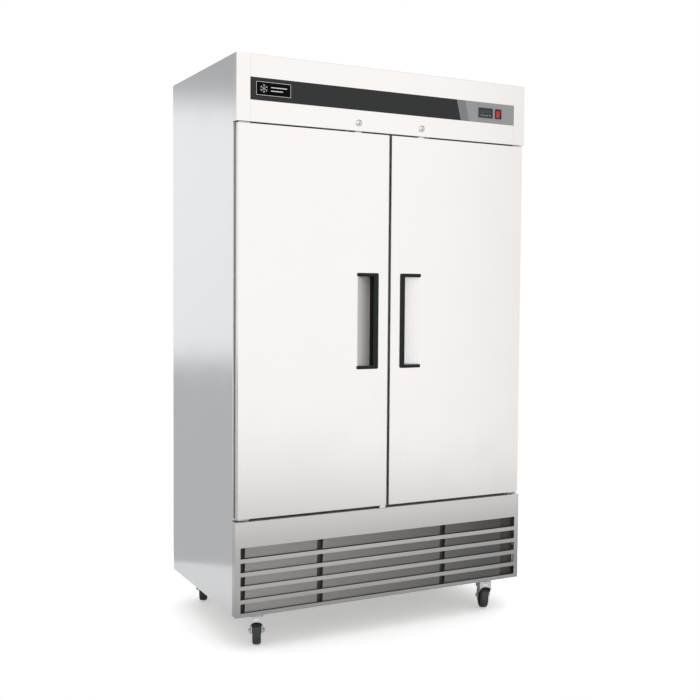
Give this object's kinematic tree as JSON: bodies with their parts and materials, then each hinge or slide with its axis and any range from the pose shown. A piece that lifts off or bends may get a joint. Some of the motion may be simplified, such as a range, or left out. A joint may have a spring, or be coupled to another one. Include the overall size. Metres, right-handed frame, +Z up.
{
  "type": "reach-in refrigerator",
  "caption": "Upright stainless steel reach-in refrigerator with two hinged solid doors, recessed black handles, a header control strip, a louvred lower grille and swivel casters.",
  "frame": {"origin": "on the floor, at the centre of the footprint", "axes": "+Z up, the doors face -Y, +X to the right of someone facing the doors"},
  "size_m": [1.194, 0.755, 2.096],
  "materials": {
    "stainless": "satin",
    "zinc": "satin",
    "lock_metal": "polished",
    "fins": "satin",
    "copper": "satin",
    "foam": "matte",
    "liner": "satin",
    "black_paint": "satin",
    "handle_black": "satin",
    "strip_black": "gloss",
    "dark_plastic": "satin",
    "motor_grey": "satin",
    "gasket": "matte",
    "tyre": "matte",
    "rocker_red": "gloss",
    "shelf_wire": "satin",
    "lamp": "satin"
  },
  "bodies": {
    "root": {"base_frame": "black_paint", "cabinet_insulation": "foam", "center_mullion": "liner", "center_rear_pilaster": "zinc", "compressor": "black_paint", "condensate_pan": "liner", "condenser_coil": "fins", "condenser_fan_motor": "motor_grey", "evaporator_coil": "fins", "evaporator_cover": "liner", "evaporator_fan_motor": "motor_grey", "front_frame": "stainless", "header_fascia": "stainless", "header_frame": "stainless", "header_strip": "strip_black", "interior_lamp": "lamp", "interior_liner": "liner", "left_front_pilaster": "zinc", "left_lower_hinge_bracket": "zinc", "left_rear_pilaster": "zinc", "left_side_panel": "stainless", "left_upper_hinge_bracket": "zinc", "louver_grille": "stainless", "rear_panel": "zinc", "refrigerant_line": "copper", "right_front_pilaster": "zinc", "right_lower_hinge_bracket": "zinc", "right_rear_pilaster": "zinc", "right_side_panel": "stainless", "right_upper_hinge_bracket": "zinc", "switch_housing": "dark_plastic", "temperature_controller": "dark_plastic", "top_panel": "zinc"},
    "left_door": {"left_door_skin": "stainless", "left_door_inner_panel": "foam", "left_door_gasket": "gasket", "left_door_handle": "handle_black"},
    "left_lock": {"left_lock_plug": "lock_metal"},
    "right_door": {"right_door_skin": "stainless", "right_door_inner_panel": "foam", "right_door_gasket": "gasket", "right_door_handle": "handle_black"},
    "right_lock": {"right_lock_plug": "lock_metal"},
    "power_rocker": {"power_rocker": "rocker_red"},
    "evaporator_fan": {"evaporator_fan_blade": "dark_plastic"},
    "condenser_fan": {"condenser_fan_blade": "dark_plastic"},
    "front_left_fork": {"front_left_caster_fork": "zinc"},
    "front_left_wheel": {"front_left_caster_wheel": "tyre"},
    "front_right_fork": {"front_right_caster_fork": "zinc"},
    "front_right_wheel": {"front_right_caster_wheel": "tyre"},
    "rear_left_fork": {"rear_left_caster_fork": "zinc"},
    "rear_left_wheel": {"rear_left_caster_wheel": "tyre"},
    "rear_right_fork": {"rear_right_caster_fork": "zinc"},
    "rear_right_wheel": {"rear_right_caster_wheel": "tyre"},
    "left_shelf_1": {"left_shelf_1": "shelf_wire"},
    "left_shelf_2": {"left_shelf_2": "shelf_wire"},
    "left_shelf_3": {"left_shelf_3": "shelf_wire"},
    "right_shelf_1": {"right_shelf_1": "shelf_wire"},
    "right_shelf_2": {"right_shelf_2": "shelf_wire"},
    "right_shelf_3": {"right_shelf_3": "shelf_wire"}
  },
  "joints": [
    {"name": "left_door_hinge", "type": "hinge", "parent": "root", "child": "left_door", "pos_m": [-0.5765, -0.3585, 1.1645], "axis": [0, 0, -1], "range_deg": [0, 120], "stiffness_Nm_per_rad": 3, "springref_deg": -5.73},
    {"name": "right_door_hinge", "type": "hinge", "parent": "root", "child": "right_door", "pos_m": [0.5765, -0.3585, 1.1645], "axis": [0, 0, 1], "range_deg": [0, 120], "stiffness_Nm_per_rad": 3, "springref_deg": -5.73},
    {"name": "left_lock_turn", "type": "hinge", "parent": "root", "child": "left_lock", "pos_m": [-0.131, -0.3725, 1.893], "axis": [0, -1, 0], "range_deg": [0, 90]},
    {"name": "right_lock_turn", "type": "hinge", "parent": "root", "child": "right_lock", "pos_m": [0.131, -0.3725, 1.893], "axis": [0, 1, 0], "range_deg": [0, 90]},
    {"name": "power_rocker_press", "type": "hinge", "parent": "root", "child": "power_rocker", "pos_m": [0.472, -0.3695, 1.977], "axis": [-1, 0, 0], "range_deg": [0, 16]},
    {"name": "evaporator_fan_spin", "type": "hinge", "parent": "root", "child": "evaporator_fan", "pos_m": [0, -0.08, 1.893], "axis": [0, 0, 1], "continuous": true},
    {"name": "condenser_fan_spin", "type": "hinge", "parent": "root", "child": "condenser_fan", "pos_m": [-0.25, -0.2125, 0.3], "axis": [0, 1, 0], "continuous": true},
    {"name": "front_left_swivel", "type": "hinge", "parent": "root", "child": "front_left_fork", "pos_m": [-0.498, -0.3175, 0.1257], "axis": [0, 0, 1], "continuous": true},
    {"name": "front_left_wheel_spin", "type": "hinge", "parent": "front_left_fork", "child": "front_left_wheel", "pos_m": [-0.48797, -0.29136, 0.05], "axis": [0.9336, -0.3584, 0], "continuous": true},
    {"name": "front_right_swivel", "type": "hinge", "parent": "root", "child": "front_right_fork", "pos_m": [0.474, -0.3175, 0.1257], "axis": [0, 0, 1], "continuous": true},
    {"name": "front_right_wheel_spin", "type": "hinge", "parent": "front_right_fork", "child": "front_right_wheel", "pos_m": [0.48403, -0.29136, 0.05], "axis": [0.9336, -0.3584, 0], "continuous": true},
    {"name": "rear_left_swivel", "type": "hinge", "parent": "root", "child": "rear_left_fork", "pos_m": [-0.498, 0.2975, 0.1257], "axis": [0, 0, 1], "continuous": true},
    {"name": "rear_left_wheel_spin", "type": "hinge", "parent": "rear_left_fork", "child": "rear_left_wheel", "pos_m": [-0.48797, 0.32364, 0.05], "axis": [0.9336, -0.3584, 0], "continuous": true},
    {"name": "rear_right_swivel", "type": "hinge", "parent": "root", "child": "rear_right_fork", "pos_m": [0.474, 0.2975, 0.1257], "axis": [0, 0, 1], "continuous": true},
    {"name": "rear_right_wheel_spin", "type": "hinge", "parent": "rear_right_fork", "child": "rear_right_wheel", "pos_m": [0.48403, 0.32364, 0.05], "axis": [0.9336, -0.3584, 0], "continuous": true},
    {"name": "left_shelf_1_lift", "type": "slide", "parent": "root", "child": "left_shelf_1", "axis": [0, 0, 1], "range_m": [0, 0.02]},
    {"name": "left_shelf_2_lift", "type": "slide", "parent": "root", "child": "left_shelf_2", "axis": [0, 0, 1], "range_m": [0, 0.02]},
    {"name": "left_shelf_3_lift", "type": "slide", "parent": "root", "child": "left_shelf_3", "axis": [0, 0, 1], "range_m": [0, 0.02]},
    {"name": "right_shelf_1_lift", "type": "slide", "parent": "root", "child": "right_shelf_1", "axis": [0, 0, 1], "range_m": [0, 0.02]},
    {"name": "right_shelf_2_lift", "type": "slide", "parent": "root", "child": "right_shelf_2", "axis": [0, 0, 1], "range_m": [0, 0.02]},
    {"name": "right_shelf_3_lift", "type": "slide", "parent": "root", "child": "right_shelf_3", "axis": [0, 0, 1], "range_m": [0, 0.02]}
  ]
}
